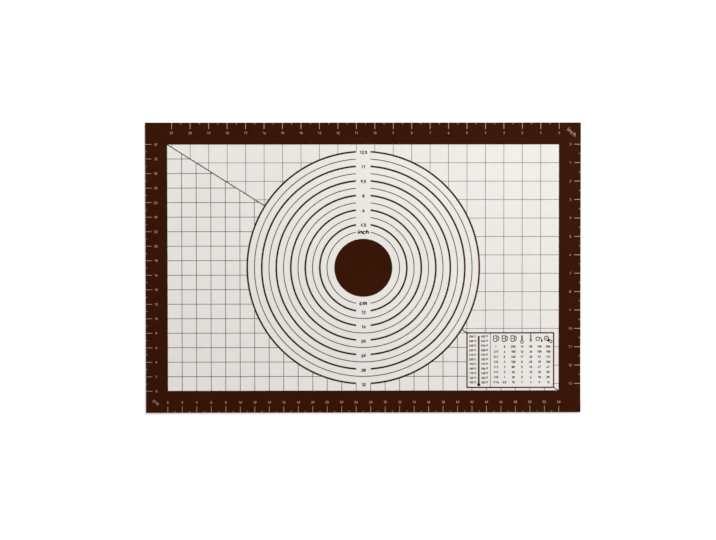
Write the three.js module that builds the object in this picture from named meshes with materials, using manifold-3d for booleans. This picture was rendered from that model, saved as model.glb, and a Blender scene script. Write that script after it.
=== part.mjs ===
// Silicone pastry mat: a flat rectangular sheet of silicone on a woven glass fibre core, printed in brown
// with a ruler border, two measuring grids, pastry circles and a conversion chart.
// Millimetres, +Z up. The origin is the centre of the underside, and +X runs along the long side.
import * as THREE from 'three';
import { mergeGeometries, mergeVertices } from 'three/addons/utils/BufferGeometryUtils.js';
import Module from 'manifold-3d';

const wasm = await Module();
wasm.setup();

// Sheet: two silicone coats with the core between them
const matLength = 600;
const matWidth = 400;
const backCoat = 0.3;
const coreThickness = 0.15;
const faceCoat = 0.3;

// Printed film, and the hairline left where two films end against each other
const inkFilm = 0.05;
const inkGap = 0.05;

// Border with its knocked-out ruler ticks: centimetres left and below, half inches right and above
const borderWidth = 30;
const longTick = 9;
const shortTick = 2.5;
const cmTickStep = 10;
const cmTickLine = 0.43;
const inchTickStep = 12.7;
const inchTickLine = 0.6;

// Measuring grids, with the divider that parts them from corner to corner
const cmGridStep = 20;
const cmGridLine = 0.76;
const inchGridStep = 25.4;
const inchGridLine = 0.6;
const dividerLine = 1.3;

// Pastry circles round the centre disc, in pairs of a thin and a thick ring, with a strip open for labels
const discRadius = 40;
const ringStep = 10;
const ringMargin = 10;
const thinRingLine = 1.14;
const thickRingLine = 2.4;
const labelStrip = 20;

// Conversion chart, whose corners lie on the divider, and the thermometer in its left column
const chartRingGap = 7.9;
const chartEdgeGap = 7.15;
const chartLine = 1.8;
const separatorLine = 0.68;
const thermometerColumn = 32.45;
const stemOffset = 16.25;
const stemLine = 2.3;
const stemTopGap = 3.8;
const bulbRadius = 2.3;
const bulbBottomGap = 3.9;

// Largest distance between an arc and the chords that stand for it
const arcTolerance = 0.2;
// Slack that keeps a pattern's last copy when the division comes out whole
const roundingSlack = 1e-6;

// Sizes that follow
const sheetThickness = backCoat + coreThickness + faceCoat;
const windowX = matLength / 2 - borderWidth;
const windowY = matWidth / 2 - borderWidth;
const zeroLine = Math.max(cmGridLine, inchGridLine);
const printedX = windowX + zeroLine / 2;
const printedY = windowY + zeroLine / 2;
const ringPairs = Math.floor((windowY - ringMargin - discRadius) / (2 * ringStep) + roundingSlack);
const ringCount = 2 * ringPairs;
const outerRadius = discRadius + ringCount * ringStep + thickRingLine / 2;
const dividerDirection = new THREE.Vector2(windowX, -windowY).normalize();
const dividerNormal = new THREE.Vector2(windowY, windowX).normalize();
const upperCorner = new THREE.Vector2(-windowX, windowY);
const lowerCorner = new THREE.Vector2(windowX, -windowY);
const chartUpper = dividerDirection.clone().multiplyScalar(outerRadius + chartRingGap);
const chartLower = lowerCorner.clone().multiplyScalar(1 - chartEdgeGap / windowX);

function siliconeMaterial() {
  return new THREE.MeshStandardMaterial({ color: 0xece7e0, roughness: 0.55, metalness: 0 });
}

function glassFibreMaterial() {
  return new THREE.MeshStandardMaterial({ color: 0xdcd8c8, roughness: 0.8, metalness: 0 });
}

function inkMaterial() {
  return new THREE.MeshStandardMaterial({ color: 0x3c190b, roughness: 0.5, metalness: 0 });
}

// Outlines and films

function rectanglePoints(left, bottom, right, top) {
  return [
    new THREE.Vector2(left, bottom),
    new THREE.Vector2(right, bottom),
    new THREE.Vector2(right, top),
    new THREE.Vector2(left, top),
  ];
}

function rectangle(left, bottom, right, top) {
  return new THREE.Shape(rectanglePoints(left, bottom, right, top));
}

// A straight line of ink from one point to another, square at both ends
function stroke(start, end, width) {
  const side = end.clone().sub(start).normalize().rotateAround(new THREE.Vector2(), Math.PI / 2);
  side.multiplyScalar(width / 2);
  return new THREE.Shape([
    start.clone().sub(side),
    end.clone().sub(side),
    end.clone().add(side),
    start.clone().add(side),
  ]);
}

// Half the chords that an arc needs, which is how an outline counts its divisions
function arcDivisions(radius, angle) {
  const chordAngle = 2 * Math.acos(1 - arcTolerance / radius);
  return Math.ceil(angle / chordAngle / 2);
}

function film(shape, divisions = 1, thickness = inkFilm) {
  return new THREE.ExtrudeGeometry(shape, {
    depth: thickness,
    bevelEnabled: false,
    curveSegments: divisions,
  });
}

// The same outline drawn past both faces of the film, to cut with
function through(shape, divisions = 1) {
  return film(shape, divisions, 3 * inkFilm).translate(0, 0, -inkFilm);
}

// Joining and cutting

function toSolid(geometry) {
  const bare = geometry.clone();
  bare.deleteAttribute('normal');
  bare.deleteAttribute('uv');
  const merged = mergeVertices(bare);
  return new wasm.Manifold(new wasm.Mesh({
    numProp: 3,
    vertProperties: new Float32Array(merged.attributes.position.array),
    triVerts: new Uint32Array(merged.index.array),
  }));
}

function toGeometry(positions, triangles) {
  const geometry = new THREE.BufferGeometry();
  geometry.setAttribute('position', new THREE.BufferAttribute(positions, 3));
  geometry.setIndex(new THREE.BufferAttribute(triangles, 1));
  geometry.computeVertexNormals();
  return geometry;
}

// The separate islands of a printed film, the one with the most triangles first
function islands(solid) {
  const { vertProperties, triVerts } = solid.getMesh();
  const parent = Array.from({ length: vertProperties.length / 3 }, (_, vertex) => vertex);
  const root = (vertex) => {
    while (parent[vertex] !== vertex) {
      vertex = parent[vertex];
    }
    return vertex;
  };
  for (let i = 0; i < triVerts.length; i += 3) {
    parent[root(triVerts[i + 1])] = root(triVerts[i]);
    parent[root(triVerts[i + 2])] = root(triVerts[i]);
  }
  const groups = new Map();
  for (let i = 0; i < triVerts.length; i += 3) {
    const key = root(triVerts[i]);
    const triangles = groups.get(key) ?? [];
    triangles.push(...triVerts.subarray(i, i + 3));
    groups.set(key, triangles);
  }
  const sorted = [...groups.values()].sort((a, b) => b.length - a.length);
  return sorted.map((triangles) => {
    const used = [...new Set(triangles)];
    const place = new Map(used.map((vertex, index) => [vertex, index]));
    const positions = used.flatMap((vertex) => [...vertProperties.subarray(3 * vertex, 3 * vertex + 3)]);
    return toGeometry(
      new Float32Array(positions),
      new Uint32Array(triangles.map((vertex) => place.get(vertex))),
    );
  });
}

// Scene graph

const mat = new THREE.Group();
const print = new THREE.Group();
print.position.z = sheetThickness;
mat.add(print);

function addCoat(name, bottom, thickness, material) {
  const outline = rectangle(-matLength / 2, -matWidth / 2, matLength / 2, matWidth / 2);
  const mesh = new THREE.Mesh(film(outline, 1, thickness), material);
  mesh.name = name;
  mesh.position.z = bottom;
  mat.add(mesh);
}

function addPrint(name, geometry) {
  const mesh = new THREE.Mesh(geometry, inkMaterial());
  mesh.name = name;
  print.add(mesh);
  return mesh;
}

// Sheet

addCoat('back_coat', 0, backCoat, siliconeMaterial());
addCoat('glass_fibre_core', backCoat, coreThickness, glassFibreMaterial());
addCoat('face_coat', backCoat + coreThickness, faceCoat, siliconeMaterial());

// Border: each side's ticks are slots that run in from the mat's edge

// A ruler's ticks as distances from the corner where it starts, every second one long
function rulerTicks(scaleLength, step, line) {
  const count = Math.floor(scaleLength / step + roundingSlack);
  return Array.from({ length: count + 1 }, (_, index) => ({
    along: borderWidth + index * step,
    depth: index % 2 === 0 ? longTick : shortTick,
    line,
  }));
}

function fromOtherEnd(ticks, sideLength) {
  return ticks.map((tick) => ({ ...tick, along: sideLength - tick.along })).reverse();
}

// One side of the border's outline, from its first corner on, with a slot at each tick
function slottedSide(corner, direction, ticks) {
  const inward = new THREE.Vector2(-direction.y, direction.x);
  const at = (along, depth) => {
    const point = corner.clone().addScaledVector(direction, along);
    return point.addScaledVector(inward, depth);
  };
  const points = [corner];
  for (const { along, depth, line } of ticks) {
    points.push(at(along - line / 2, 0));
    points.push(at(along - line / 2, depth));
    points.push(at(along + line / 2, depth));
    points.push(at(along + line / 2, 0));
  }
  return points;
}

function borderShape() {
  const corners = rectanglePoints(-matLength / 2, -matWidth / 2, matLength / 2, matWidth / 2);
  const cmBelow = rulerTicks(2 * windowX, cmTickStep, cmTickLine);
  const inchRight = fromOtherEnd(rulerTicks(2 * windowY, inchTickStep, inchTickLine), matWidth);
  const inchAbove = rulerTicks(2 * windowX, inchTickStep, inchTickLine);
  const cmLeft = fromOtherEnd(rulerTicks(2 * windowY, cmTickStep, cmTickLine), matWidth);
  const outline = [cmBelow, inchRight, inchAbove, cmLeft].flatMap((ticks, side) => {
    const direction = corners[(side + 1) % 4].clone().sub(corners[side]).normalize();
    return slottedSide(corners[side], direction, ticks);
  });
  const shape = new THREE.Shape(outline);
  shape.holes.push(rectangle(-printedX, -printedY, printedX, printedY));
  return shape;
}

addPrint('border_print', film(borderShape()));

// Chart frame with its column line, and the thermometer: a stem that ends in a round bulb

function chartFrame() {
  const half = chartLine / 2;
  const column = chartUpper.x + thermometerColumn;
  const top = chartUpper.y - half;
  const bottom = chartLower.y + half;
  const plate = rectangle(chartUpper.x - half, chartLower.y - half, chartLower.x + half, chartUpper.y + half);
  const leftCell = rectangle(chartUpper.x + half, bottom, column - separatorLine / 2, top);
  const rightCell = rectangle(column + separatorLine / 2, bottom, chartLower.x - half, top);
  const cells = mergeGeometries([through(leftCell), through(rightCell)]);
  return toSolid(film(plate)).subtract(toSolid(cells));
}

function thermometerShape() {
  const x = chartUpper.x + stemOffset;
  const bulbY = chartLower.y + bulbBottomGap;
  const topY = chartUpper.y - stemTopGap - stemLine / 2;
  const neck = Math.asin(stemLine / 2 / bulbRadius);
  const shape = new THREE.Shape();
  shape.absarc(x, bulbY, bulbRadius, Math.PI / 2 + neck, 2.5 * Math.PI - neck, false);
  shape.absarc(x, topY, stemLine / 2, 0, Math.PI, false);
  return shape;
}

addPrint('chart_frame_print', islands(chartFrame())[0]);
addPrint('thermometer_print', film(thermometerShape(), arcDivisions(bulbRadius, 2 * Math.PI)));

// Pastry circles: each ring ends straight at the label strip, above and below or above alone

function stripAngle(radius) {
  return Math.acos(labelStrip / 2 / radius);
}

function ringShape(radius, line, closedBelow) {
  const outer = radius + line / 2;
  const inner = radius - line / 2;
  const outerEnd = stripAngle(outer);
  const innerEnd = stripAngle(inner);
  const turn = closedBelow ? Math.PI : 0;
  const shape = new THREE.Shape();
  shape.absarc(0, 0, outer, -turn - outerEnd, outerEnd, false);
  shape.absarc(0, 0, inner, innerEnd, -turn - innerEnd, true);
  return shape;
}

function addRing(index) {
  const radius = discRadius + index * ringStep;
  const thick = index % 2 === 0;
  const line = thick ? thickRingLine : thinRingLine;
  const name = `ring_${String(index).padStart(2, '0')}`;
  const labelledBelow = thick || index === 1;
  if (!labelledBelow) {
    addPrint(`${name}_print`, film(ringShape(radius, line, true), arcDivisions(radius, 2 * Math.PI)));
    return;
  }
  const half = film(ringShape(radius, line, false), arcDivisions(radius + line / 2, Math.PI));
  addPrint(`${name}_right_print`, half);
  addPrint(`${name}_left_print`, half.clone()).rotation.z = Math.PI;
}

function discShape() {
  const shape = new THREE.Shape();
  shape.absarc(0, 0, discRadius, 0, 2 * Math.PI, false);
  return shape;
}

addPrint('centre_disc_print', film(discShape(), arcDivisions(discRadius, 2 * Math.PI)));
for (let index = 1; index <= ringCount; index += 1) {
  addRing(index);
}

// Measuring grids and divider, trimmed to the outermost ring, the chart and each other

// All that the outermost ring encloses, bounded by chords that run along those of the ring
function circlesShape() {
  const radius = outerRadius + inkGap;
  const end = stripAngle(radius);
  const shape = new THREE.Shape();
  shape.absarc(0, 0, radius, -end, end, false);
  shape.absarc(0, 0, radius, Math.PI - end, Math.PI + end, false);
  return shape;
}

const circlesArea = toSolid(through(circlesShape(), arcDivisions(outerRadius, Math.PI)));
const chartReach = chartLine / 2 + inkGap;
const chartArea = toSolid(through(rectangle(
  chartUpper.x - chartReach,
  chartLower.y - chartReach,
  chartLower.x + chartReach,
  chartUpper.y + chartReach,
)));
const printedArea = rectangle(-printedX, -printedY, printedX, printedY);

// All that lies past the divider's near edge, on the side that the normal points to
function pastDivider(normal) {
  const edge = normal.clone().multiplyScalar(matLength / 2 - dividerLine / 2 - inkGap);
  const reach = dividerDirection.clone().multiplyScalar(matLength);
  return toSolid(through(stroke(edge.clone().sub(reach), edge.clone().add(reach), matLength)));
}

// The open spans between a grid's lines, from its zero line to past the side opposite, which has no line
function openSpans(scaleLength, step, line) {
  const lastLine = Math.floor((scaleLength - line) / step);
  return Array.from({ length: lastLine + 1 }, (_, index) => ({
    start: index * step + line / 2,
    end: index < lastLine ? (index + 1) * step - line / 2 : scaleLength + zeroLine,
  }));
}

// One grid: the printed area with its cells cut out, counted from the corner where both its scales read zero
function gridNet(corner, step, line) {
  const toward = new THREE.Vector2(-Math.sign(corner.x), -Math.sign(corner.y));
  const rows = openSpans(2 * windowY, step, line);
  const cells = openSpans(2 * windowX, step, line).flatMap((across) => rows.map((up) => {
    const near = new THREE.Vector2(across.start, up.start).multiply(toward).add(corner);
    const far = new THREE.Vector2(across.end, up.end).multiply(toward).add(corner);
    const { min, max } = new THREE.Box2().setFromPoints([near, far]);
    return through(rectangle(min.x, min.y, max.x, max.y));
  }));
  return toSolid(film(printedArea)).subtract(toSolid(mergeGeometries(cells)));
}

// What the circles and the chart leave of a film, as its islands
function trimmed(solid) {
  return islands(solid.subtract(circlesArea).subtract(chartArea));
}

// The largest island is the net, and a short line that meets none of the others is a stub
function addGrid(name, net) {
  const [largest, ...stubs] = trimmed(net);
  addPrint(`${name}_print`, largest);
  stubs.forEach((stub, index) => addPrint(`${name}_stub_${index + 1}_print`, stub));
}

function addDivider(name, start, end) {
  const line = toSolid(film(stroke(start, end, dividerLine))).intersect(toSolid(through(printedArea)));
  addPrint(name, trimmed(line)[0]);
}

const centre = new THREE.Vector2();
const overrun = dividerDirection.clone().multiplyScalar(borderWidth);
addDivider('divider_upper_print', upperCorner.clone().sub(overrun), centre);
addDivider('divider_middle_print', centre, chartUpper);
addDivider('divider_lower_print', chartLower, lowerCorner.clone().add(overrun));

// The chart's top edge runs on to the outermost ring as a lead line, and the centimetre grid stops below it
const aboveDivider = pastDivider(dividerNormal);
const belowDivider = pastDivider(dividerNormal.clone().negate());
const leadStart = new THREE.Vector2(0, chartUpper.y);
const leadLine = toSolid(film(stroke(leadStart, chartUpper, cmGridLine)));
const leadFloor = chartUpper.y - cmGridLine / 2 - inkGap;
const aboveLead = toSolid(through(rectangle(0, leadFloor, matLength / 2, matWidth / 2)));
addPrint('chart_lead_print', trimmed(leadLine.subtract(aboveDivider))[0]);

const zeroCm = new THREE.Vector2(-windowX, -windowY);
const zeroInch = new THREE.Vector2(windowX, windowY);
addGrid('cm_grid', gridNet(zeroCm, cmGridStep, cmGridLine).subtract(aboveDivider).subtract(aboveLead));
addGrid('inch_grid', gridNet(zeroInch, inchGridStep, inchGridLine).subtract(belowDivider));

export default mat;
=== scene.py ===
"""Looks of a printed silicone pastry mat that lies on a pale floor and is seen from above."""

import functools
import math
from typing import NamedTuple

import bmesh
import bpy
from mathutils import Matrix, Vector


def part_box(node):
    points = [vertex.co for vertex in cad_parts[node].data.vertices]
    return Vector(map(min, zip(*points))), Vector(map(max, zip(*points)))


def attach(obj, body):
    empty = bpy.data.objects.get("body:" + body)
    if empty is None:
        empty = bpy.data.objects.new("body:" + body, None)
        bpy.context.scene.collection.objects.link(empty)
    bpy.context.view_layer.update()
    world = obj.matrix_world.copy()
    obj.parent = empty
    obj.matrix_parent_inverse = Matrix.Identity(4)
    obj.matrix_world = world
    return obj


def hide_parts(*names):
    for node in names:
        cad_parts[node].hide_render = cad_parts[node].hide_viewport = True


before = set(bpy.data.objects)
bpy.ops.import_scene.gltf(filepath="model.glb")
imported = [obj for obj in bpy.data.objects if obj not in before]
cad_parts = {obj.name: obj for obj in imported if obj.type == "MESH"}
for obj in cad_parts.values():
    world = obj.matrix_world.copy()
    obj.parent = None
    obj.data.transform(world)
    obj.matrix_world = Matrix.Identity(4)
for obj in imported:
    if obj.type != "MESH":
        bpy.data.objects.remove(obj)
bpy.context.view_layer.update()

# Millimetres are used while a piece is drawn, and metres once it is made
MM = 0.001


class Stroke(NamedTuple):
    """Single-line lettering: height of a digit, width of the line, step to the next sign, and slant"""
    height: float
    line: float
    pitch: float
    slant: float = 0.0


class Noise(NamedTuple):
    """Fineness of a noise pattern in cells per metre, and how many finer layers it has"""
    scale: float
    detail: float


class Finish(NamedTuple):
    """Roughness of the smoothest and the roughest patches, and the level of reflection"""
    smooth: float
    rough: float
    specular: float


class Spoon(NamedTuple):
    """A spoon from above: its middle, its bowl's middle and half sizes, and its handle's top and width"""
    shift: float
    bowl: float
    half_width: float
    half_height: float
    top: float
    handle: float


class Pan(NamedTuple):
    """A pan from above: its middle and its radius"""
    shift: float
    rise: float
    radius: float


# Lay of the sheet: long soft waves, and two edges that stand off the floor a little
LATTICE = 10.0
WAVES = ((310.0, 20.0, 0.3), (230.0, 110.0, 1.9), (170.0, 65.0, 4.1))
WAVE_HEIGHT = 0.1
CURL_HEIGHT = 1.2
CURL_REACH = 70.0
CORE_INSET = 0.15

# Merging distance, and the corner from which an edge counts as sharp
WELD = 0.001
SHARP_CORNER = math.radians(30)

# Rulers: plain numbers knocked out of the border, and a unit word at each zero corner
BORDER = 30.0
INCH = 25.4
CM_NUMBER_STEP = 2
CENTIMETRE = 10.0
NUMBERS = Stroke(3.0, 0.32, 2.4)
NUMBER_FROM_EDGE = 14.4
INCH_WORD = Stroke(5.0, 0.6, 4.3)
INCH_FROM_EDGES = (12.7, 13.1)
CM_WORD = Stroke(5.0, 0.42, 3.8)
CM_FROM_EDGES = (14.0, 14.9)
WORD_TURN = math.radians(-42)
CUTTER_STRETCH = 9.0

# Labels of the pastry circles
LABELS = Stroke(3.5, 1.1, 3.05)
LABEL_SHIFT = 0.2
LABEL_DROP_ABOVE = 1.1
LABEL_DROP_BELOW = 1.5
INCH_LABELS = ("4,5", "6", "8", "9,5", "11", "12,5")
LABELLED_RINGS = ("02", "04", "06", "08", "10", "12")
RING_WORDS = Stroke(5.2, 1.7, 4.4, 0.2)
WORD_DROP_ABOVE = 0.4
WORD_RISE_BELOW = 1.4

# Curves are drawn with a point for each of these angles: circles, pictures, and small ruler signs
ARC_STEP = math.radians(1.5)
PICTURE_STEP = math.radians(7.5)
SIGN_STEP = math.radians(18)

# Single-line signs in a box one unit high: half their width, half an m, the top of small letters,
# and the signs whose step to the next isn't the usual one
SIGN_HALF = 0.28
WIDE_HALF = 0.44
SMALL_TOP = 0.62
STEP_SHARES = {",": 0.5, "i": 0.6, "m": 1.4, " ": 0.4, "\N{DEGREE SIGN}": 0.6}

# Temperatures in the chart's left column
DEGREES_C = range(250, 149, -10)
DEGREES = Stroke(2.4, 0.7, 2.0)
DEGREES_TOP = 5.9
DEGREES_PITCH = 6.35
CELSIUS_OFFSET = 8.9
FAHRENHEIT_OFFSET = 25.3

# Amounts in the chart's table: each row is a share of a cup, and each column a measure of it
CUP_SHARES = ("1", "3/4", "2/3", "1/2", "1/3", "1/4", "1/8", "1/16")
CUP_IN_MEASURES = (8, 240, 16, 48, 140, 200)
AMOUNTS = Stroke(2.4, 0.8, 2.05)
AMOUNT_TOP = 19.9
AMOUNT_PITCH = 7.05
COLUMN_START = 40.7
COLUMN_PITCH = 12.06

# Pictures over the table's columns: three cups, two spoons, a pan with a drop, and a pan with a packet.
# Each is drawn round the middle of its column, in millimetres
ICON_DROP = 8.6
ICON_LINE = 1.15
CUP_LEFT = -3.2
CUP_RIGHT = 1.5
CUP_TOP = 3.6
CUP_BOTTOM = -4.3
CUP_CORNER = 1.8
CUP_LEVEL = (-2.0, 0.5)
HANDLE_REACH = 2.1
HANDLE_HALF = 3.1
TABLESPOON = Spoon(shift=0.0, bowl=-4.7, half_width=1.7, half_height=2.1, top=4.2, handle=2.1)
TEASPOON = Spoon(shift=0.2, bowl=-2.3, half_width=0.9, half_height=1.8, top=6.3, handle=1.5)
DROP_PAN = Pan(shift=-2.4, rise=-0.6, radius=2.4)
DROP_POUR = ((0.4, 1.7), (1.7, 1.2), (2.7, -1.2))
DROP_PLACE = (3.2, -3.5)
DROP_RADIUS = 1.4
DROP_LENGTH = 3.0
PACKET_PAN = Pan(shift=-2.3, rise=0.1, radius=2.9)
PAN_DOT = 1.0
PACKET_PLACE = (2.4, -3.6)
PACKET_HALF = (2.8, 1.5)
PACKET_TURN = math.radians(-31)
PACKET_FLAP = 1.7

# Darkest and lightest tones of the materials
PALE_TONES = ((0.84, 0.814, 0.775), (0.88, 0.854, 0.82))
INK_TONES = ((0.037, 0.0066, 0.001), (0.045, 0.0088, 0.0018))
LINE_INK_TONES = ((0.05, 0.0082, 0.0013), (0.06, 0.0106, 0.0021))
GLASS_TONES = ((0.55, 0.52, 0.43), (0.76, 0.73, 0.63))

# Silicone under the border takes up some of its ink, which shows in the ticks and numbers.
# The stain starts a little outside the window, and only on faces that look up this much
STAIN = (0.94, 0.56, 0.45)
STAIN_INSET = 2.0
FACE_TILT = 0.5

# Finish of the silicone and the ink: clouds with finer specks, patches of gloss, and a faint relief
SATIN = Finish(smooth=0.4, rough=0.54, specular=0.5)
MATT = Finish(smooth=0.46, rough=0.58, specular=0.045)
SILICONE_IOR = 1.41
CLOUDS = Noise(11.0, 3.0)
SPECKS = Noise(130.0, 2.0)
SPECK_SHARE = 0.4
GLOSS_PATCHES = Noise(34.0, 3.0)
RELIEF = Noise(150.0, 3.0)
RELIEF_STRENGTH = 0.12
RELIEF_DEPTH = 0.2 * MM

# Part of a noise's range over which a tone or a gloss runs from end to end
NOISE_LOW = 0.3
NOISE_HIGH = 0.7

# Yarns of the glass cloth
YARN_SCALE = 60.0
YARN_DISTORTION = 0.4
GLASS_ROUGHNESS = 0.7
GLASS_IOR = 1.5

# Colour sockets of the mix node, which has sockets of the same names for other kinds of values
MIX_COLOUR_A = 6
MIX_COLOUR_B = 7
MIX_COLOUR_RESULT = 2

# Camera, fitted to the outline and the border of the photographed mat
CAMERA_AIM = (-7.328 * MM, -3.070 * MM, 0.0)
CAMERA_DISTANCE = 2.0
CAMERA_LENS = 72.88
CAMERA_SENSOR = 36.0
CAMERA_TILT_X = math.radians(1.194)
CAMERA_TILT_Y = math.radians(0.327)
CAMERA_ROLL = math.radians(0.0655)

# Studio: sides brighter than the ceiling, a soft key light from the upper right, and a white floor
SIDE_LIGHT = 1.0
CEILING_LIGHT = 0.03
SIDE_TOP = math.sin(math.radians(25))
CEILING_EDGE = math.sin(math.radians(60))
KEY_PLACE = (1.2, 1.7, 2.05)
KEY_SIZE = 1.5
KEY_POWER = 65.0
FLOOR_REACH = 8.0
FLOOR_DROP = 0.02 * MM
FLOOR_COLOUR = (0.9, 0.9, 0.9, 1.0)
FLOOR_GLOW = 0.35

# Sizes read from the frame
SHEET_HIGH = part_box("face_coat")[1] / MM
HALF_X = SHEET_HIGH.x
HALF_Y = SHEET_HIGH.y
WINDOW_X = HALF_X - BORDER
WINDOW_Y = HALF_Y - BORDER
INK_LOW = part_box("border_print")[0].z / MM
INK_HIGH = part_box("border_print")[1].z / MM
INK_MIDDLE = (INK_LOW + INK_HIGH) / 2
CHART_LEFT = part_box("chart_frame_print")[0].x / MM
CHART_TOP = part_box("chart_frame_print")[1].y / MM


def lay(x, y):
    """Height of the sheet's underside over the floor at a point of the mat"""
    height = 0.0
    for length, heading, phase in WAVES:
        along = x * math.cos(math.radians(heading)) + y * math.sin(math.radians(heading))
        height += WAVE_HEIGHT * (1 + math.sin(math.tau * along / length + phase))
    for distance in (x + HALF_X, y + HALF_Y):
        curl = max(0.0, 1 - distance / CURL_REACH)
        height += CURL_HEIGHT * curl ** 2
    return height


# Materials

def node(tree, kind, values=None):
    made = tree.nodes.new(kind)
    for name, value in (values or {}).items():
        made.inputs[name].default_value = value
    return made


def blank_material(name):
    material = bpy.data.materials.new(name)
    material.use_nodes = True
    tree = material.node_tree
    tree.nodes.clear()
    return material, tree


def surface(tree, shader):
    output = node(tree, "ShaderNodeOutputMaterial")
    tree.links.new(shader.outputs[0], output.inputs["Surface"])


def calculated(tree, operation, *values):
    """The result of a math node whose inputs are numbers or other nodes' outputs"""
    made = node(tree, "ShaderNodeMath")
    made.operation = operation
    for slot, value in enumerate(values):
        if isinstance(value, bpy.types.NodeSocket):
            tree.links.new(value, made.inputs[slot])
        else:
            made.inputs[slot].default_value = value
    return made.outputs["Value"]


def axes_of(tree, vector):
    made = node(tree, "ShaderNodeSeparateXYZ")
    tree.links.new(vector, made.inputs["Vector"])
    return made.outputs


def ramp(tree, factor, tones):
    made = node(tree, "ShaderNodeValToRGB")
    for element, position, tone in zip(made.color_ramp.elements, (NOISE_LOW, NOISE_HIGH), tones):
        element.position = position
        element.color = (*tone, 1.0)
    tree.links.new(factor, made.inputs["Fac"])
    return made.outputs["Color"]


def noise(tree, place, pattern):
    made = node(tree, "ShaderNodeTexNoise", {"Scale": pattern.scale, "Detail": pattern.detail})
    tree.links.new(place.outputs["Object"], made.inputs["Vector"])
    return made.outputs["Fac"]


def under_border(tree, place):
    """1 where the border's ink lies on the silicone, and 0 in its window and on the sheet's sides"""
    away = node(tree, "ShaderNodeVectorMath")
    away.operation = "ABSOLUTE"
    tree.links.new(place.outputs["Object"], away.inputs[0])
    axes = axes_of(tree, away.outputs["Vector"])
    past_x = calculated(tree, "GREATER_THAN", axes["X"], (WINDOW_X + STAIN_INSET) * MM)
    past_y = calculated(tree, "GREATER_THAN", axes["Y"], (WINDOW_Y + STAIN_INSET) * MM)
    covered = calculated(tree, "MAXIMUM", past_x, past_y)
    normal = node(tree, "ShaderNodeNewGeometry").outputs["True Normal"]
    looks_up = calculated(tree, "GREATER_THAN", axes_of(tree, normal)["Z"], FACE_TILT)
    return calculated(tree, "MULTIPLY", covered, looks_up)


def cured_silicone(name, tones, finish, stain=None):
    """Silicone or its ink: clouded tones, patches of more and less gloss, and a faint uneven relief"""
    material, tree = blank_material(name)
    place = node(tree, "ShaderNodeTexCoord")
    shader = node(tree, "ShaderNodeBsdfPrincipled", {
        "IOR": SILICONE_IOR, "Specular IOR Level": finish.specular,
    })
    clouds = node(tree, "ShaderNodeMix", {"Factor": SPECK_SHARE})
    tree.links.new(noise(tree, place, CLOUDS), clouds.inputs["A"])
    tree.links.new(noise(tree, place, SPECKS), clouds.inputs["B"])
    colour = ramp(tree, clouds.outputs["Result"], tones)
    if stain:
        stained = node(tree, "ShaderNodeMix", {MIX_COLOUR_B: (*stain, 1.0)})
        stained.data_type = "RGBA"
        stained.blend_type = "MULTIPLY"
        tree.links.new(under_border(tree, place), stained.inputs["Factor"])
        tree.links.new(colour, stained.inputs[MIX_COLOUR_A])
        colour = stained.outputs[MIX_COLOUR_RESULT]
    tree.links.new(colour, shader.inputs["Base Color"])
    gloss = node(tree, "ShaderNodeMapRange", {
        "From Min": NOISE_LOW, "From Max": NOISE_HIGH, "To Min": finish.smooth, "To Max": finish.rough,
    })
    tree.links.new(noise(tree, place, GLOSS_PATCHES), gloss.inputs["Value"])
    tree.links.new(gloss.outputs["Result"], shader.inputs["Roughness"])
    relief = node(tree, "ShaderNodeBump", {"Strength": RELIEF_STRENGTH, "Distance": RELIEF_DEPTH})
    tree.links.new(noise(tree, place, RELIEF), relief.inputs["Height"])
    tree.links.new(relief.outputs["Normal"], shader.inputs["Normal"])
    surface(tree, shader)
    return material


def woven_glass():
    """Glass cloth with its two crossing sets of yarns"""
    material, tree = blank_material("woven_glass")
    place = node(tree, "ShaderNodeTexCoord")
    shader = node(tree, "ShaderNodeBsdfPrincipled", {"Roughness": GLASS_ROUGHNESS, "IOR": GLASS_IOR})
    yarns = []
    for direction in ("X", "Y"):
        wave = node(tree, "ShaderNodeTexWave", {"Scale": YARN_SCALE, "Distortion": YARN_DISTORTION})
        wave.bands_direction = direction
        tree.links.new(place.outputs["Object"], wave.inputs["Vector"])
        yarns.append(wave.outputs["Fac"])
    colour = ramp(tree, calculated(tree, "MULTIPLY", *yarns), GLASS_TONES)
    tree.links.new(colour, shader.inputs["Base Color"])
    surface(tree, shader)
    return material


PALE = cured_silicone("pale_silicone", PALE_TONES, SATIN)
FACE = cured_silicone("printed_face", PALE_TONES, SATIN, STAIN)
INK = cured_silicone("brown_ink", INK_TONES, MATT)
LINE_INK = cured_silicone("thin_ink", LINE_INK_TONES, MATT)
GLASS = woven_glass()


# Pieces

def add_piece(name, mesh, material, nodes):
    mesh.materials.append(material)
    mesh.shade_smooth()
    mesh.set_sharp_from_angle(angle=SHARP_CORNER)
    piece = bpy.data.objects.new(name, mesh)
    bpy.context.scene.collection.objects.link(piece)
    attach(piece, "root")
    if nodes:
        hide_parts(*nodes)
    return piece


def laid_mesh(name, bm):
    """A mesh in metres of what was drawn flat in millimetres, laid as the sheet lies"""
    for vertex in bm.verts:
        vertex.co.z += lay(vertex.co.x, vertex.co.y)
    bmesh.ops.scale(bm, vec=(MM, MM, MM), verts=bm.verts)
    mesh = bpy.data.meshes.new(name)
    bm.to_mesh(mesh)
    bm.free()
    return mesh


def add_film(name, bm, *nodes, ink=LINE_INK):
    return add_piece(name, laid_mesh(name, bm), ink, nodes)


# Drawing: closed prisms of ink between the two heights of the film

def prism_rows(bm, points):
    low = [bm.verts.new((x, y, INK_LOW)) for x, y in points]
    high = [bm.verts.new((x, y, INK_HIGH)) for x, y in points]
    return low, high


def add_wall(bm, low, high, closed):
    """The side that faces right of the way along two rows of points"""
    for i in range(len(low) if closed else len(low) - 1):
        j = (i + 1) % len(low)
        bm.faces.new((low[i], low[j], high[j], high[i]))


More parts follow.
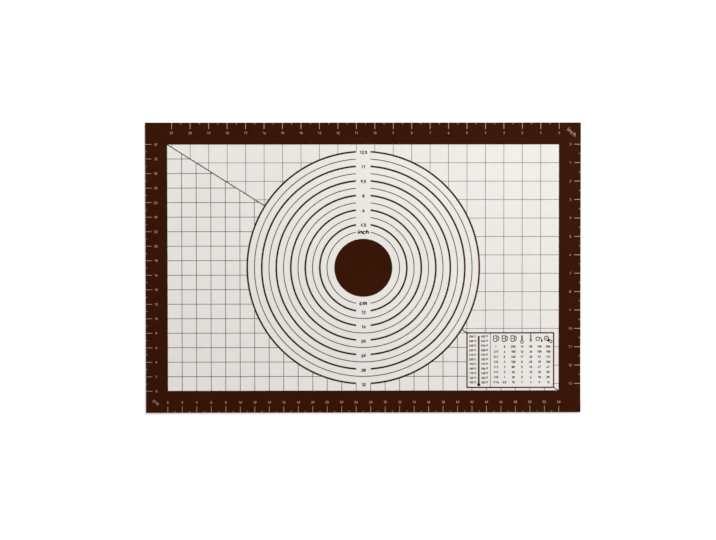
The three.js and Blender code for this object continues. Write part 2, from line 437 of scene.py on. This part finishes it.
def add_patch(bm, points):
    """A filled outline, whose points run anticlockwise"""
    low, high = prism_rows(bm, points)
    bm.faces.new(high)
    bm.faces.new(low[::-1])
    add_wall(bm, low, high, True)


def add_strip(bm, left, right, closed=False):
    """A ribbon between a left and a right row of points"""
    left_low, left_high = prism_rows(bm, left)
    right_low, right_high = prism_rows(bm, right)
    add_wall(bm, right_low, right_high, closed)
    add_wall(bm, left_low[::-1], left_high[::-1], closed)
    add_wall(bm, right_high, left_high, closed)
    add_wall(bm, left_low, right_low, closed)
    if not closed:
        bm.faces.new((left_low[0], right_low[0], right_high[0], left_high[0]))
        bm.faces.new((right_low[-1], left_low[-1], left_high[-1], right_high[-1]))


def add_line(bm, points, width=ICON_LINE, closed=False):
    """A ribbon of even width along points, with mitred corners"""
    points = [Vector(point) for point in points]
    steps = [(b - a).normalized() for a, b in zip(points, points[1:] + points[:1])]
    left = []
    right = []
    for i, point in enumerate(points):
        before = steps[i - 1] if closed or i > 0 else steps[i]
        after = steps[i] if closed or i < len(points) - 1 else before
        mitre = (before + after).orthogonal() / (1 + before.dot(after))
        left.append(point + mitre * width / 2)
        right.append(point - mitre * width / 2)
    add_strip(bm, left, right, closed)


def arc(x, y, radius, start, end, step=PICTURE_STEP):
    count = math.ceil(abs(end - start) / step)
    angles = [start + (end - start) * i / count for i in range(count + 1)]
    return [(x + radius * math.cos(a), y + radius * math.sin(a)) for a in angles]


def ellipse(x, y, half_width, half_height, step=PICTURE_STEP):
    circle = arc(0, 0, 1, 0, math.tau, step)[:-1]
    return [(x + half_width * across, y + half_height * up) for across, up in circle]


# Numbers, units and plain words in single lines

def sign_lines(sign):
    """A sign's lines in a box one unit high, with whether each is closed"""
    half = SIGN_HALF
    quarter = half / 2
    curve = functools.partial(arc, step=SIGN_STEP)
    loop = functools.partial(ellipse, step=SIGN_STEP)
    bowl = loop(0, half, half, half)
    tail = [(-half, half), (quarter, 1)]
    arch = curve(0, SMALL_TOP - half, half, math.pi, 0) + [(half, 0)]
    turn = WIDE_HALF / 2
    arches = []
    for x in (-turn, turn):
        arches.append((curve(x, SMALL_TOP - turn, turn, math.pi, 0) + [(x + turn, 0)], False))
    open_round = curve(0, 0, 1, math.pi / 4, 1.75 * math.pi)
    return {
        "0": [(loop(0, 0.5, half, 0.5), True)],
        "1": [([(-quarter, 0.8), (quarter / 2, 1), (quarter / 2, 0)], False)],
        "2": [(curve(0, 1 - half, half, math.pi, -math.pi / 5) + [(-half, 0), (half, 0)], False)],
        "3": [(curve(0, 0.76, 0.24, 0.8 * math.pi, -math.pi / 2), False),
              (curve(0, 0.26, 0.26, math.pi / 2, -0.8 * math.pi), False)],
        "4": [([(quarter, 0), (quarter, 1), (-half, 0.3), (half, 0.3)], False)],
        "5": [([(half, 1), (-half, 1), (-half, 0.5)]
               + curve(0, 0.3, 0.3, 0.7 * math.pi, -0.8 * math.pi), False)],
        "6": [(bowl, True), (tail, False)],
        "7": [([(-half, 1), (half, 1), (-half / 3, 0)], False)],
        "8": [(bowl, True), (loop(0, 0.77, 0.25, 0.23), True)],
        "9": [([(-x, 1 - y) for x, y in line], closed) for line, closed in ((bowl, True), (tail, False))],
        ",": [([(0.04, 0.1), (-0.06, -0.2)], False)],
        "/": [([(-quarter, -0.1), (quarter, 1.1)], False)],
        "\N{DEGREE SIGN}": [(loop(0, 0.85, 0.15, 0.15), True)],
        " ": [],
        "C": [([(half * across, 0.5 + up / 2) for across, up in open_round], False)],
        "F": [([(-half, 0), (-half, 1), (half, 1)], False), ([(-half, 0.5), (quarter, 0.5)], False)],
        "c": [([(half * across, SMALL_TOP * (1 + up) / 2) for across, up in open_round], False)],
        "h": [([(-half, 0), (-half, 1)], False), (arch, False)],
        "i": [([(0, 0), (0, SMALL_TOP)], False), ([(0, 0.8), (0, 1)], False)],
        "m": [([(-WIDE_HALF, 0), (-WIDE_HALF, SMALL_TOP)], False), *arches],
        "n": [([(-half, 0), (-half, SMALL_TOP)], False), (arch, False)],
    }[sign]


def add_signs(bm, signs, style, place, turn=0.0):
    """A number or word drawn in single lines, with the middle of its box on the place"""
    shares = [STEP_SHARES.get(sign, 1.0) for sign in signs]
    to_place = Matrix.Translation((*place, 0)) @ Matrix.Rotation(turn, 4, "Z")
    for index, sign in enumerate(signs):
        middle = (sum(shares[:index]) + shares[index] / 2 - sum(shares) / 2) * style.pitch
        for line, closed in sign_lines(sign):
            points = []
            for across, up in line:
                up -= 0.5
                x = middle + style.height * (across + style.slant * up)
                points.append((to_place @ Vector((x, style.height * up, 0))).xy)
            add_line(bm, points, style.line, closed)


# Films that follow the construction

def film_of(cad_node):
    """A construction film in millimetres, with its seams merged and none of its stored normals"""
    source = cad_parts[cad_node].data
    bm = bmesh.new()
    points = [bm.verts.new(vertex.co / MM) for vertex in source.vertices]
    for polygon in source.polygons:
        bm.faces.new([points[index] for index in polygon.vertices])
    bmesh.ops.remove_doubles(bm, verts=bm.verts, dist=WELD)
    return bm


def cut_on_lattice(bm):
    """Splits a film where the sheet's own points lie, so that it can follow the lay, and drops empty faces"""
    for axis in range(2):
        places = [vertex.co[axis] for vertex in bm.verts]
        normal = Vector((0, 0, 0))
        normal[axis] = 1.0
        for step in range(math.ceil(min(places) / LATTICE), math.floor(max(places) / LATTICE) + 1):
            everything = [*bm.verts, *bm.edges, *bm.faces]
            bmesh.ops.bisect_plane(
                bm, geom=everything, dist=WELD, plane_co=normal * step * LATTICE, plane_no=normal
            )
    bmesh.ops.dissolve_degenerate(bm, dist=WELD, edges=bm.edges)


def scratch(name, bm):
    mesh = bpy.data.meshes.new(name)
    bm.to_mesh(mesh)
    bm.free()
    made = bpy.data.objects.new(name, mesh)
    bpy.context.scene.collection.objects.link(made)
    return made


def knocked_out(bm, cutter):
    """The film with the cutter's slabs, which may cross each other, taken out of it, in triangles"""
    film = scratch("film", bm)
    tool = scratch("tool", cutter)
    cut = film.modifiers.new("cut", "BOOLEAN")
    cut.operation = "DIFFERENCE"
    cut.solver = "EXACT"
    cut.use_self = True
    cut.object = tool
    result = bmesh.new()
    result.from_object(film, bpy.context.evaluated_depsgraph_get())
    bpy.data.objects.remove(film)
    bpy.data.objects.remove(tool)
    bmesh.ops.triangulate(result, faces=result.faces)
    return result


# Sheet

def add_layer(cad_node, name, material, inset=0.0):
    """One layer of the sheet as a closed slab on the lattice"""
    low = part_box(cad_node)[0].z / MM
    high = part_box(cad_node)[1].z / MM
    columns = round(2 * HALF_X / LATTICE)
    rows = round(2 * HALF_Y / LATTICE)
    bm = bmesh.new()
    levels = []
    for z in (low, high):
        level = []
        for i in range(columns + 1):
            x = max(inset, min(2 * HALF_X - inset, i * LATTICE)) - HALF_X
            ys = [max(inset, min(2 * HALF_Y - inset, j * LATTICE)) - HALF_Y for j in range(rows + 1)]
            level.append([bm.verts.new((x, y, z)) for y in ys])
        levels.append(level)
    bottom, top = levels
    for i in range(columns):
        for j in range(rows):
            bm.faces.new((top[i][j], top[i + 1][j], top[i + 1][j + 1], top[i][j + 1]))
            bm.faces.new((bottom[i][j], bottom[i][j + 1], bottom[i + 1][j + 1], bottom[i + 1][j]))
    rim = [(i, 0) for i in range(columns)]
    rim += [(columns, j) for j in range(rows)]
    rim += [(i, rows) for i in range(columns, 0, -1)]
    rim += [(0, j) for j in range(rows, 0, -1)]
    add_wall(bm, [bottom[i][j] for i, j in rim], [top[i][j] for i, j in rim], True)
    return add_piece(name, laid_mesh(name, bm), material, [cad_node])


back = add_layer("back_coat", "back_layer", PALE)
core = add_layer("glass_fibre_core", "core_layer", GLASS, CORE_INSET)
face = add_layer("face_coat", "face_layer", FACE)


# Border with its ruler numbers

def ruler_numbers():
    """Every ruler number with its place: inches from the upper right, centimetres from the lower left"""
    across = WINDOW_X * 2
    along = WINDOW_Y * 2
    upper = HALF_Y - NUMBER_FROM_EDGE
    right = HALF_X - NUMBER_FROM_EDGE
    for number in range(int(across / INCH) + 1):
        yield number, (WINDOW_X - number * INCH, upper)
    for number in range(int(along / INCH) + 1):
        yield number, (right, WINDOW_Y - number * INCH)
    for number in range(0, round(across / CENTIMETRE) + 1, CM_NUMBER_STEP):
        yield number, (number * CENTIMETRE - WINDOW_X, -upper)
    for number in range(0, round(along / CENTIMETRE) + 1, CM_NUMBER_STEP):
        yield number, (-right, number * CENTIMETRE - WINDOW_Y)


def add_border():
    cutter = bmesh.new()
    for number, place in ruler_numbers():
        add_signs(cutter, str(number), NUMBERS, place)
    corner = Vector((HALF_X, HALF_Y))
    add_signs(cutter, "inch", INCH_WORD, corner - Vector(INCH_FROM_EDGES), WORD_TURN)
    add_signs(cutter, "cm", CM_WORD, Vector(CM_FROM_EDGES) - corner, WORD_TURN)
    to_middle = Matrix.Translation((0, 0, -INK_MIDDLE))
    bmesh.ops.scale(cutter, vec=(1, 1, CUTTER_STRETCH), space=to_middle, verts=cutter.verts)
    bm = knocked_out(film_of("border_print"), cutter)
    cut_on_lattice(bm)
    return add_film("border_film", bm, "border_print", ink=INK)


# Pastry circles with their labels

def ring_radii(cad_node):
    radii = [vertex.co.xy.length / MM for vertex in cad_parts[cad_node].data.vertices]
    return min(radii), max(radii)


def add_ring(cad_node):
    """A ring as fine as the render needs, with its straight ends at the label strip"""
    inner, outer = ring_radii(cad_node)
    strip = min(abs(vertex.co.x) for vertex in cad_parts["ring_01_right_print"].data.vertices) / MM
    rows = []
    span = math.tau if "right" not in cad_node and "left" not in cad_node else math.pi
    count = math.ceil(span / ARC_STEP)
    for radius in (inner, outer):
        end = math.acos(strip / radius)
        start = -end
        if "left" in cad_node:
            start, end = math.pi - end, math.pi + end
        elif "right" not in cad_node:
            start = -math.pi - end
        angles = [start + (end - start) * i / count for i in range(count + 1)]
        rows.append([(radius * math.cos(a), radius * math.sin(a)) for a in angles])
    bm = bmesh.new()
    add_strip(bm, *rows)
    return add_film(cad_node.replace("_print", "_film"), bm, cad_node)


def add_disc():
    radius = ring_radii("centre_disc_print")[1]
    bm = bmesh.new()
    add_patch(bm, ellipse(0, 0, radius, radius, ARC_STEP))
    cut_on_lattice(bm)
    return add_film("centre_disc_film", bm, "centre_disc_print", ink=INK)


def add_ring_labels():
    bm = bmesh.new()
    for name, inch_label in zip(LABELLED_RINGS, INCH_LABELS):
        radius = sum(ring_radii(f"ring_{name}_right_print")) / 2
        cm_label = str(round(2 * radius / CENTIMETRE))
        add_signs(bm, inch_label, LABELS, (LABEL_SHIFT, radius - LABEL_DROP_ABOVE))
        add_signs(bm, cm_label, LABELS, (LABEL_SHIFT, -radius - LABEL_DROP_BELOW))
    first = sum(ring_radii("ring_01_right_print")) / 2
    add_signs(bm, "inch", RING_WORDS, (0, first - WORD_DROP_ABOVE))
    add_signs(bm, "cm", RING_WORDS, (0, WORD_RISE_BELOW - first))
    return add_film("ring_label_film", bm)


# Conversion chart

def add_thermometer():
    """A stem with a round top that ends in a bulb"""
    low, high = (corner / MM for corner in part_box("thermometer_print"))
    x = (low.x + high.x) / 2
    bulb = (high.x - low.x) / 2
    places = [vertex.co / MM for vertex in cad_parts["thermometer_print"].data.vertices]
    stem = max(place.x - x for place in places if place.y > low.y + 2 * bulb)
    neck = math.asin(stem / bulb)
    outline = arc(x, low.y + bulb, bulb, math.pi / 2 + neck, 2.5 * math.pi - neck)
    outline += arc(x, high.y - stem, stem, 0, math.pi)
    bm = bmesh.new()
    add_patch(bm, outline)
    cut_on_lattice(bm)
    return add_film("thermometer_film", bm, "thermometer_print")


def add_degrees():
    bm = bmesh.new()
    for row, celsius in enumerate(DEGREES_C):
        y = CHART_TOP - DEGREES_TOP - row * DEGREES_PITCH
        fahrenheit = round(celsius * 1.8 + 32)
        add_signs(bm, f"{celsius} \N{DEGREE SIGN}C", DEGREES, (CHART_LEFT + CELSIUS_OFFSET, y))
        add_signs(bm, f"{fahrenheit} \N{DEGREE SIGN}F", DEGREES, (CHART_LEFT + FAHRENHEIT_OFFSET, y))
    return add_film("chart_degree_film", bm)


def amount_text(amount):
    return str(round(amount)) if amount >= 1 else f"{amount:.1f}".replace(".", ",")


def add_amounts():
    bm = bmesh.new()
    for row, share in enumerate(CUP_SHARES):
        y = CHART_TOP - AMOUNT_TOP - row * AMOUNT_PITCH
        part, _, whole = share.partition("/")
        cups = int(part) / int(whole or 1)
        texts = [share] + [amount_text(measure * cups) for measure in CUP_IN_MEASURES]
        for column, text in enumerate(texts):
            add_signs(bm, text, AMOUNTS, (CHART_LEFT + COLUMN_START + column * COLUMN_PITCH, y))
    return add_film("chart_amount_film", bm)


def draw_cup(bm, x, y):
    """A measuring cup from the side, with a round-cornered foot, a handle and a level mark"""
    foot = y + CUP_BOTTOM + CUP_CORNER
    body = [(x + CUP_RIGHT, y + CUP_TOP), (x + CUP_LEFT, y + CUP_TOP)]
    body += arc(x + CUP_LEFT + CUP_CORNER, foot, CUP_CORNER, math.pi, 1.5 * math.pi)
    body += arc(x + CUP_RIGHT - CUP_CORNER, foot, CUP_CORNER, 1.5 * math.pi, math.tau)
    add_line(bm, body, closed=True)
    side = x + CUP_RIGHT + ICON_LINE / 2
    half_turn = arc(0, 0, 1, -math.pi / 2, math.pi / 2)
    add_line(bm, [(side + HANDLE_REACH * along, y + HANDLE_HALF * up) for along, up in half_turn])
    add_line(bm, [(x + end, y) for end in CUP_LEVEL])


def draw_spoon(bm, x, y, spoon):
    """A spoon with its handle up"""
    x += spoon.shift
    add_line(bm, ellipse(x, y + spoon.bowl, spoon.half_width, spoon.half_height), closed=True)
    neck = y + spoon.bowl + spoon.half_height + ICON_LINE / 2
    add_line(bm, [(x, neck), (x, y + spoon.top)], spoon.handle)


def draw_pan(bm, x, y, pan):
    add_line(bm, ellipse(x + pan.shift, y + pan.rise, pan.radius, pan.radius), closed=True)


def draw_drop(bm, x, y):
    """A drop that runs up to a point, and the stroke it falls from"""
    side = math.acos(DROP_RADIUS / DROP_LENGTH)
    place = (x + DROP_PLACE[0], y + DROP_PLACE[1])
    outline = arc(*place, DROP_RADIUS, math.pi / 2 + side, 2.5 * math.pi - side)
    add_patch(bm, outline + [(place[0], place[1] + DROP_LENGTH)])
    add_line(bm, [(x + along, y + up) for along, up in DROP_POUR])


def draw_packet(bm, x, y):
    """A slanted packet with a dark flap at its upper end"""
    turned = Matrix.Rotation(PACKET_TURN, 2)
    centre = Vector((x, y)) + Vector(PACKET_PLACE)
    long, short = PACKET_HALF
    corners = [(-long, -short), (long, -short), (long, short), (-long, short)]
    add_line(bm, [centre + turned @ Vector(corner) for corner in corners], closed=True)
    fold = ICON_LINE / 2 + PACKET_FLAP - long
    flap = [(-long, -short), (fold, -short), (fold, short), (-long, short)]
    add_patch(bm, [centre + turned @ Vector(corner) for corner in flap])


def add_icons():
    bm = bmesh.new()
    columns = [CHART_LEFT + COLUMN_START + i * COLUMN_PITCH for i in range(len(CUP_IN_MEASURES) + 1)]
    y = CHART_TOP - ICON_DROP
    for x in columns[:3]:
        draw_cup(bm, x, y)
    draw_spoon(bm, columns[3], y, TABLESPOON)
    draw_spoon(bm, columns[4], y, TEASPOON)
    draw_pan(bm, columns[5], y, DROP_PAN)
    draw_drop(bm, columns[5], y)
    draw_pan(bm, columns[6], y, PACKET_PAN)
    add_patch(bm, ellipse(columns[6] + PACKET_PAN.shift, y + PACKET_PAN.rise, PAN_DOT, PAN_DOT))
    draw_packet(bm, columns[6], y)
    return add_film("chart_icon_film", bm)


films = [
    add_border(), add_disc(), add_ring_labels(),
    add_thermometer(), add_degrees(), add_amounts(), add_icons(),
]
for ring_node in sorted(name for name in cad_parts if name.startswith("ring_")):
    films.append(add_ring(ring_node))
LINE_NODES = ("chart_frame_print", "chart_lead_print", "cm_grid_print", "inch_grid_print",
              "divider_upper_print", "divider_middle_print", "divider_lower_print")
for line_node in LINE_NODES:
    drawn = film_of(line_node)
    cut_on_lattice(drawn)
    films.append(add_film(line_node.replace("_print", "_film"), drawn, line_node))


# Stage, light and camera

def add_floor():
    """A white floor that keeps its shadows, with a little light of its own for the eye alone"""
    material, tree = blank_material("floor")
    rays = node(tree, "ShaderNodeLightPath").outputs
    mirrored = calculated(tree, "MAXIMUM", rays["Is Glossy Ray"], rays["Is Transmission Ray"])
    seen = calculated(tree, "MAXIMUM", rays["Is Camera Ray"], mirrored)
    glow = node(tree, "ShaderNodeEmission")
    tree.links.new(calculated(tree, "MULTIPLY", seen, FLOOR_GLOW), glow.inputs["Strength"])
    matt = node(tree, "ShaderNodeBsdfDiffuse", {"Color": FLOOR_COLOUR})
    both = node(tree, "ShaderNodeAddShader")
    tree.links.new(glow.outputs[0], both.inputs[0])
    tree.links.new(matt.outputs[0], both.inputs[1])
    surface(tree, both)
    far = FLOOR_REACH
    corners = [(x, y, -FLOOR_DROP) for x, y in ((-far, -far), (far, -far), (far, far), (-far, far))]
    mesh = bpy.data.meshes.new("floor")
    mesh.from_pydata(corners, [], [(0, 1, 2, 3)])
    mesh.materials.append(material)
    floor = bpy.data.objects.new("floor", mesh)
    bpy.context.scene.collection.objects.link(floor)


def add_world():
    """Soft light from the sides, dimmer overhead"""
    world = bpy.data.worlds.new("studio")
    world.use_nodes = True
    tree = world.node_tree
    tree.nodes.clear()
    place = node(tree, "ShaderNodeTexCoord")
    level = node(tree, "ShaderNodeMapRange", {
        "From Min": SIDE_TOP, "From Max": CEILING_EDGE, "To Min": SIDE_LIGHT, "To Max": CEILING_LIGHT,
    })
    tree.links.new(axes_of(tree, place.outputs["Generated"])["Z"], level.inputs["Value"])
    background = node(tree, "ShaderNodeBackground", {"Color": (1.0, 1.0, 1.0, 1.0)})
    tree.links.new(level.outputs["Result"], background.inputs["Strength"])
    output = node(tree, "ShaderNodeOutputWorld")
    tree.links.new(background.outputs[0], output.inputs["Surface"])
    bpy.context.scene.world = world


def add_key():
    light = bpy.data.lights.new("key", "AREA")
    light.size = KEY_SIZE
    light.energy = KEY_POWER
    key = bpy.data.objects.new("key", light)
    key.location = KEY_PLACE
    key.rotation_euler = Vector(KEY_PLACE).to_track_quat("Z", "Y").to_euler()
    bpy.context.scene.collection.objects.link(key)


def add_camera():
    lens = bpy.data.cameras.new("photo_view")
    lens.sensor_width = CAMERA_SENSOR
    lens.lens = CAMERA_LENS
    camera = bpy.data.objects.new("photo_view", lens)
    turned = Matrix.Rotation(-CAMERA_TILT_X, 4, "X") @ Matrix.Rotation(-CAMERA_TILT_Y, 4, "Y")
    turned = turned @ Matrix.Rotation(-CAMERA_ROLL, 4, "Z")
    back_off = Matrix.Translation((0, 0, CAMERA_DISTANCE))
    camera.matrix_world = Matrix.Translation(CAMERA_AIM) @ turned @ back_off
    bpy.context.scene.collection.objects.link(camera)
    bpy.context.scene.camera = camera


add_floor()
add_world()
add_key()
add_camera()
bpy.context.scene.view_settings.view_transform = "Standard"
